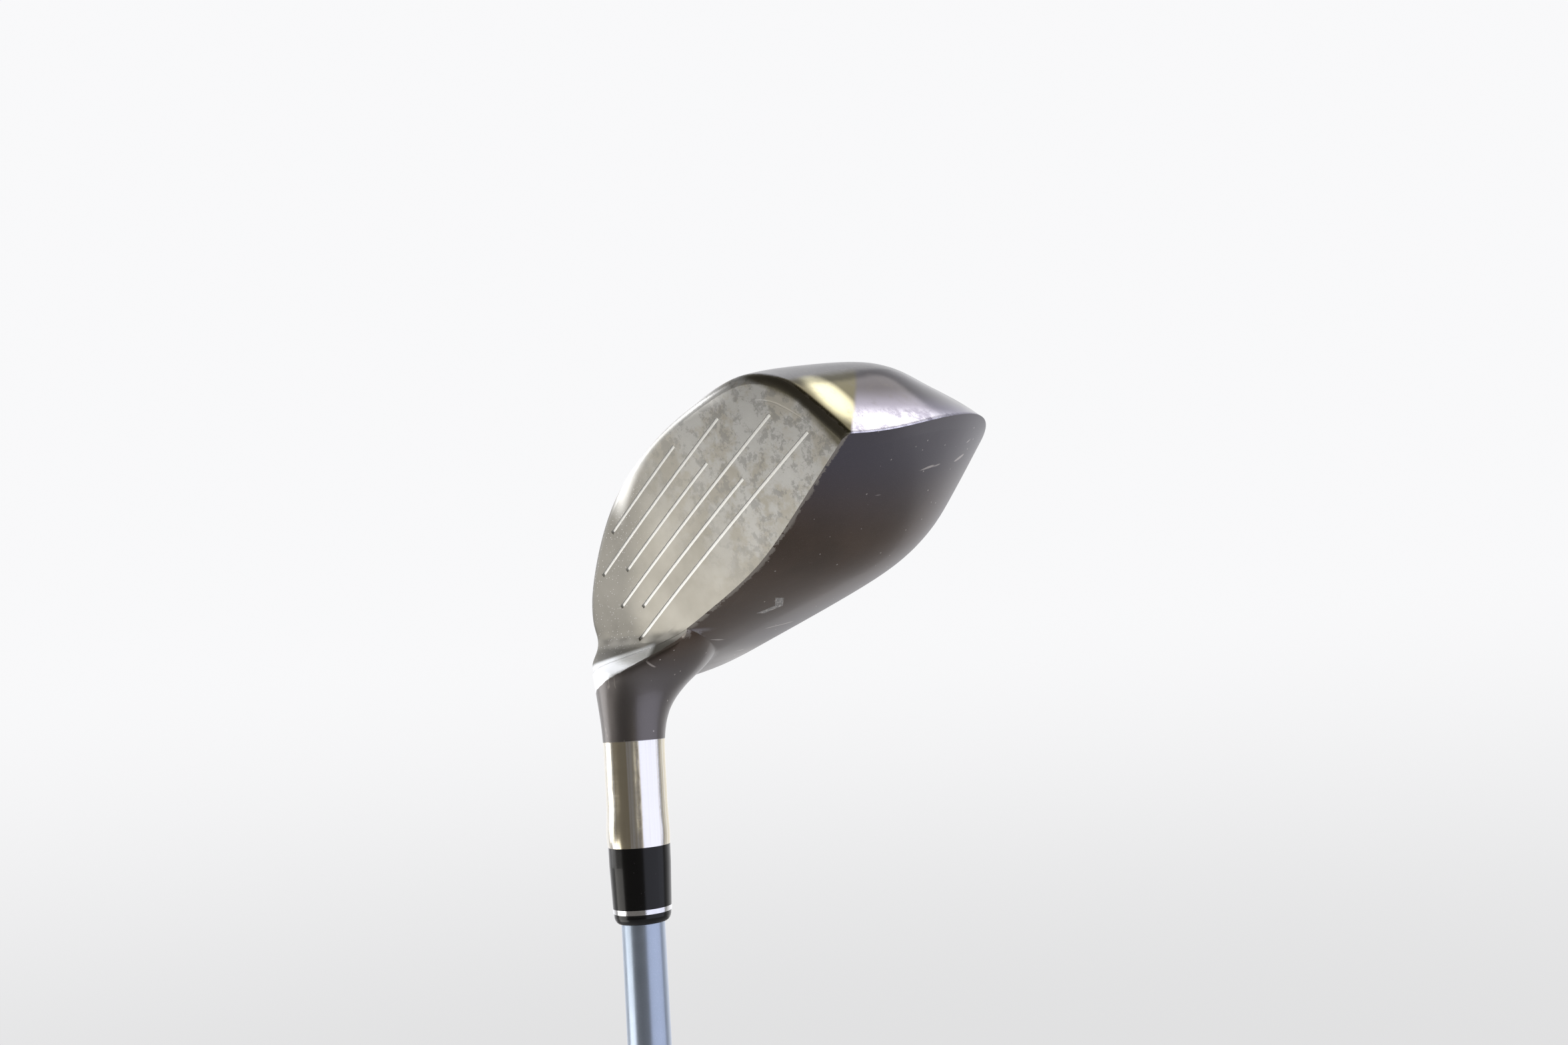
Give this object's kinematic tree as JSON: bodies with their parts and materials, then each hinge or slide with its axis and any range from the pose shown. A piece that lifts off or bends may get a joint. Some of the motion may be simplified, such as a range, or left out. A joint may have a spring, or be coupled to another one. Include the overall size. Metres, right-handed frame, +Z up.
{
  "type": "hybrid golf club",
  "caption": "Right-handed hybrid golf club with a hollow steel head, scored face, screwed-in weights, black ferrule, tapered shaft and rubber grip.",
  "frame": {"origin": "centre of the butt end face of the grip, at the mouth of the vent hole", "axes": "+Z up the shaft axis from the grip to the head, +X towards the toe, -Y the way the striking face looks"},
  "size_m": [0.0855, 0.0767, 1.0471],
  "materials": {
    "body_steel": "cast steel, gloss dark coat on the crown rim, skirt and neck, bright band on the hosel",
    "face_steel": "satin, fine blasted texture, worn",
    "crown_paint": "gloss gunmetal paint",
    "light_inlay": "gloss",
    "sole_steel": "satin",
    "hot_melt": "waxy",
    "weight_metal": "turned",
    "screw_steel": "machined",
    "black_plastic": "polished",
    "bright_ring": "polished",
    "shaft_paint": "metallic blue-grey lacquer over carbon fibre",
    "band_film": "printed film with no lettering",
    "brass_pin": "turned",
    "plug_plastic": "moulded",
    "grip_rubber": "moulded",
    "tape": "double-sided paper tape"
  },
  "bodies": {
    "club": {"alignment_inlay": "light_inlay", "body_casting": "body_steel", "crown_plate": "crown_paint", "face_plate": "face_steel", "ferrule_body": "black_plastic", "ferrule_cap": "black_plastic", "ferrule_ring": "bright_ring", "grip": "grip_rubber", "grip_cap": "grip_rubber", "grip_tape": "tape", "hosel_plug": "plug_plastic", "hot_melt_pad": "hot_melt", "shaft": "shaft_paint", "shaft_band": "band_film", "sole_plate": "sole_steel", "tip_weight": "brass_pin"},
    "toe_weight_body": {"toe_weight": "weight_metal"},
    "toe_screw_body": {"toe_weight_screw": "screw_steel"},
    "heel_weight_body": {"heel_weight": "weight_metal"},
    "heel_screw_body": {"heel_weight_screw": "screw_steel"}
  },
  "joints": [
    {"name": "toe_weight_slide", "type": "slide", "parent": "club", "child": "toe_weight_body", "axis": [-0.3345, 0.0546, 0.9408], "range_m": [0, 0.00525]},
    {"name": "toe_screw_turn", "type": "hinge", "parent": "toe_weight_body", "child": "toe_screw_body", "pos_m": [0.04818, 0.03, 1.04556], "axis": [-0.3345, 0.0546, 0.9408], "range_deg": [0, 2700]},
    {"name": "heel_weight_slide", "type": "slide", "parent": "club", "child": "heel_weight_body", "axis": [-0.6045, 0.0681, 0.7937], "range_m": [0, 0.00525]},
    {"name": "heel_screw_turn", "type": "hinge", "parent": "heel_weight_body", "child": "heel_screw_body", "pos_m": [-0.0022, 0.027, 1.01782], "axis": [-0.6045, 0.0681, 0.7937], "range_deg": [0, 2700]}
  ],
  "couplings": [
    {"joint": "toe_screw_turn", "follows": "toe_weight_slide", "rad_per_m": 8976},
    {"joint": "heel_screw_turn", "follows": "heel_weight_slide", "rad_per_m": 8976}
  ]
}
